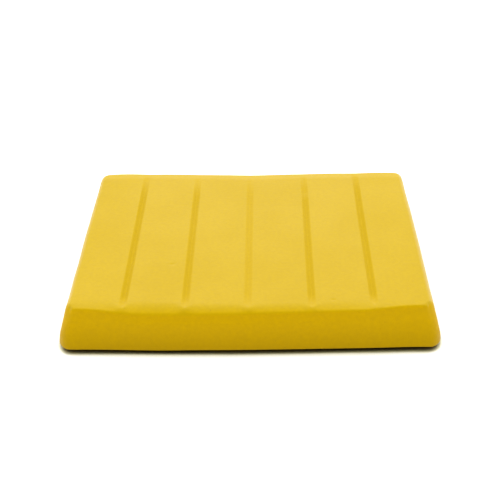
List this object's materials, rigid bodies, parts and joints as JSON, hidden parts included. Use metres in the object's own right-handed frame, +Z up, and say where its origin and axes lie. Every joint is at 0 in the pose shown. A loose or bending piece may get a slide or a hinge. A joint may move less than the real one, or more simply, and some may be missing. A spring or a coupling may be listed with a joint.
{
  "type": "clay bar",
  "caption": "Scored slab of soft detailing clay that bends at its score lines and tears along them into finger-wide sticks.",
  "frame": {"origin": "middle of the underside", "axes": "+X across the sticks, from stick_1 to stick_6; +Y along the sticks, towards the edge that the scores nearly reach; +Z up, out of the scored face"},
  "size_m": [0.09, 0.07, 0.011],
  "materials": {
    "clay": "matte, waxy, opaque yellow clay"
  },
  "bodies": {
    "stick_1": {"stick_1": "clay"},
    "stick_2": {"stick_2": "clay", "web_1": "clay"},
    "stick_3": {"stick_3": "clay", "web_2": "clay", "web_3": "clay"},
    "stick_4": {"stick_4": "clay", "web_4": "clay"},
    "stick_5": {"stick_5": "clay", "web_5": "clay"},
    "stick_6": {"stick_6": "clay"}
  },
  "joints": [
    {"name": "score_1_bend", "type": "hinge", "parent": "stick_2", "child": "stick_1", "pos_m": [-0.0294, 0, 0.0046], "axis": [0, 1, 0], "range_deg": [-12, 22], "deforming": ["web_1"]},
    {"name": "score_2_bend", "type": "hinge", "parent": "stick_3", "child": "stick_2", "pos_m": [-0.0147, 0, 0.0046], "axis": [0, 1, 0], "range_deg": [-12, 22], "deforming": ["web_2"]},
    {"name": "score_3_bend", "type": "hinge", "parent": "stick_3", "child": "stick_4", "pos_m": [0, 0, 0.0046], "axis": [0, -1, 0], "range_deg": [-12, 22], "deforming": ["web_3"]},
    {"name": "score_4_bend", "type": "hinge", "parent": "stick_4", "child": "stick_5", "pos_m": [0.0147, 0, 0.0046], "axis": [0, -1, 0], "range_deg": [-12, 22], "deforming": ["web_4"]},
    {"name": "score_5_bend", "type": "hinge", "parent": "stick_5", "child": "stick_6", "pos_m": [0.0294, 0, 0.0046], "axis": [0, -1, 0], "range_deg": [-12, 22], "deforming": ["web_5"]}
  ]
}
